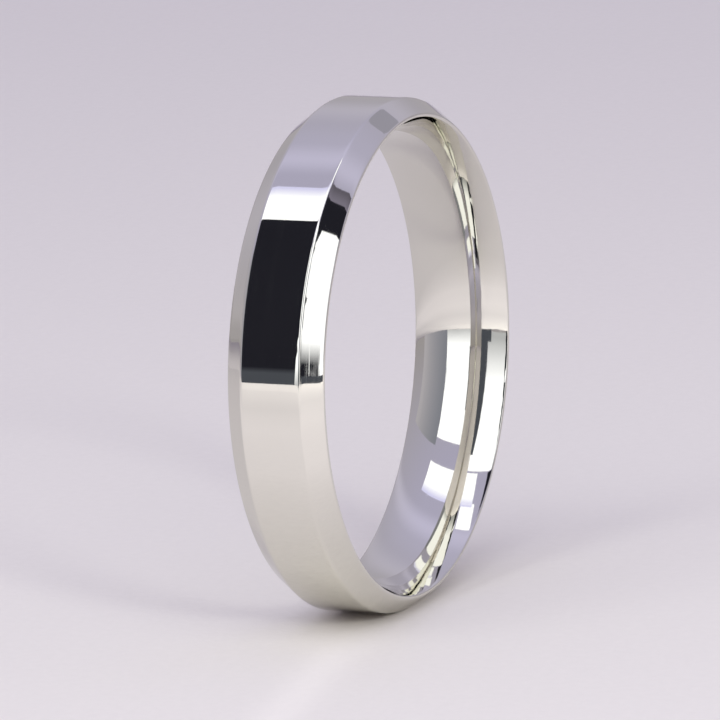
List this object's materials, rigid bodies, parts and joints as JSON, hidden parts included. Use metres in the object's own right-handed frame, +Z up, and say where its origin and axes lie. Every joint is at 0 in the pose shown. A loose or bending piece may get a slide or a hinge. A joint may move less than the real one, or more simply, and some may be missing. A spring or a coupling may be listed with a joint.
{
  "type": "wedding band",
  "caption": "Plain wedding band in mirror-polished white metal, with a flat tread, a bevel along each side and a comfort-fit finger hole, standing on its rim.",
  "frame": {"origin": "centre of the finger hole, halfway across the band", "axes": "+Y along the ring's axis, the way a finger goes through it; +Z up with the ring standing on its rim, on the facet at -Z"},
  "size_m": [0.02, 0.004, 0.02],
  "materials": {
    "polished_platinum": "mirror polish, with faint polishing lines around the ring and slightly softened arrises"
  },
  "bodies": {
    "root": {"band": "polished_platinum"}
  },
  "joints": []
}
